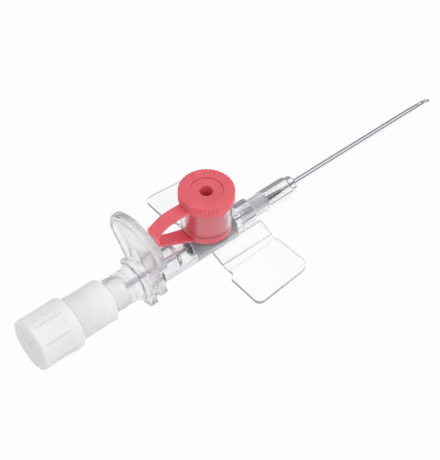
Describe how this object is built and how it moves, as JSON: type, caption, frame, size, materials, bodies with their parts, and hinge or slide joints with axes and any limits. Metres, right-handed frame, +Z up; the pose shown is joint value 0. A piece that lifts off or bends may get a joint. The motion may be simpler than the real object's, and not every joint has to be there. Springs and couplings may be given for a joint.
{
  "type": "iv cannula",
  "caption": "Ported over-the-needle IV cannula with folding wings, coral port lid on a strap, needle with thumb plate and flash chamber, vent plug and ribbed luer cap.",
  "frame": {"origin": "middle of the catheter hub's front face, where the bare catheter starts", "axes": "+X along the cannula towards the needle's tip, +Z up along the injection port, wings to both sides along Y"},
  "size_m": [0.0946, 0.032, 0.0199],
  "materials": {
    "clear_plastic": "clear glossy moulding",
    "catheter_plastic": "clear smooth tube",
    "steel": "polished stainless steel",
    "silicone": "grey translucent silicone",
    "coral_plastic": "coral satin moulding",
    "frosted_plastic": "clear moulding with a soft bloom",
    "milky_plastic": "translucent white moulding",
    "filter_fibre": "porous white"
  },
  "bodies": {
    "hub": {"catheter_hub": "clear_plastic", "catheter_tube": "catheter_plastic", "catheter_ferrule": "steel", "valve_sleeve": "silicone", "port_strap": "coral_plastic"},
    "lid": {"port_lid": "coral_plastic"},
    "needle_unit": {"needle": "steel", "needle_hub": "frosted_plastic"},
    "plug": {"vent_plug": "milky_plastic", "vent_filter": "filter_fibre"},
    "cap": {"luer_cap": "milky_plastic"}
  },
  "joints": [
    {"name": "port_lid_lift", "type": "slide", "parent": "hub", "child": "lid", "axis": [0, 0, 1], "range_m": [0, 0.0075], "deforming": ["port_strap"]},
    {"name": "needle_withdraw", "type": "slide", "parent": "hub", "child": "needle_unit", "axis": [-1, 0, 0], "range_m": [0, 0.069]},
    {"name": "vent_plug_pull", "type": "slide", "parent": "needle_unit", "child": "plug", "axis": [-1, 0, 0], "range_m": [0, 0.004]},
    {"name": "luer_cap_pull", "type": "slide", "parent": "plug", "child": "cap", "axis": [-1, 0, 0], "range_m": [0, 0.003]}
  ]
}
